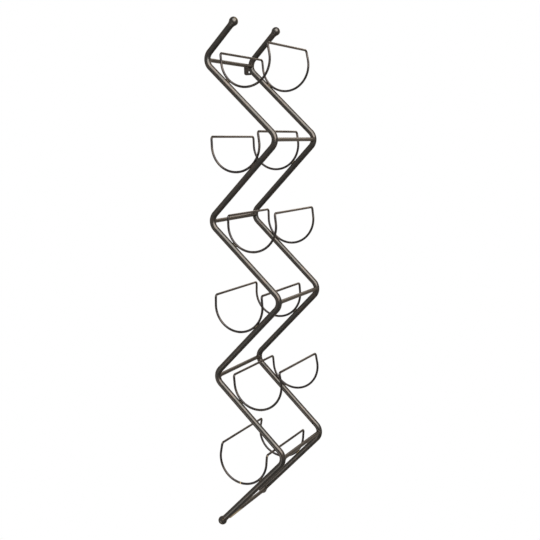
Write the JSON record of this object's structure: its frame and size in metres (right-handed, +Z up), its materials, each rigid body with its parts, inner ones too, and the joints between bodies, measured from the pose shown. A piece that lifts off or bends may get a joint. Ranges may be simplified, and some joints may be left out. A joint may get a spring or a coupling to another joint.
{
  "type": "wall bottle rack",
  "caption": "Tall wall-hung wine rack: two zigzag rods with ball ends, joined by crossbars, and a wire cradle at each bend.",
  "frame": {"origin": "on the back face of the hanger plate, just above its screw hole", "axes": "+X across the wall to the right as seen from the room, +Y into the wall, +Z up"},
  "size_m": [0.1352, 0.169, 0.8249],
  "materials": {
    "rod_metal": "dark bronze lacquer on bent steel rod",
    "ball_metal": "dark bronze lacquer, rubbed brown on the crown",
    "crossbar_metal": "dark bronze lacquer on straight steel bar",
    "cradle_wire_metal": "dark bronze lacquer on steel wire",
    "hanger_metal": "dark bronze lacquer on steel plate"
  },
  "bodies": {
    "root": {"front_zigzag_rod": "rod_metal", "rear_zigzag_rod": "rod_metal", "hanger_plate": "hanger_metal", "front_top_ball": "ball_metal", "front_bottom_ball": "ball_metal", "rear_top_ball": "ball_metal", "rear_bottom_ball": "ball_metal", "crossbar_1": "crossbar_metal", "crossbar_2": "crossbar_metal", "crossbar_3": "crossbar_metal", "crossbar_4": "crossbar_metal", "crossbar_5": "crossbar_metal", "crossbar_6": "crossbar_metal", "crossbar_7": "crossbar_metal", "bottle_cradle_1": "cradle_wire_metal", "bottle_cradle_2": "cradle_wire_metal", "bottle_cradle_3": "cradle_wire_metal", "bottle_cradle_4": "cradle_wire_metal", "bottle_cradle_5": "cradle_wire_metal", "bottle_cradle_6": "cradle_wire_metal"}
  },
  "joints": []
}
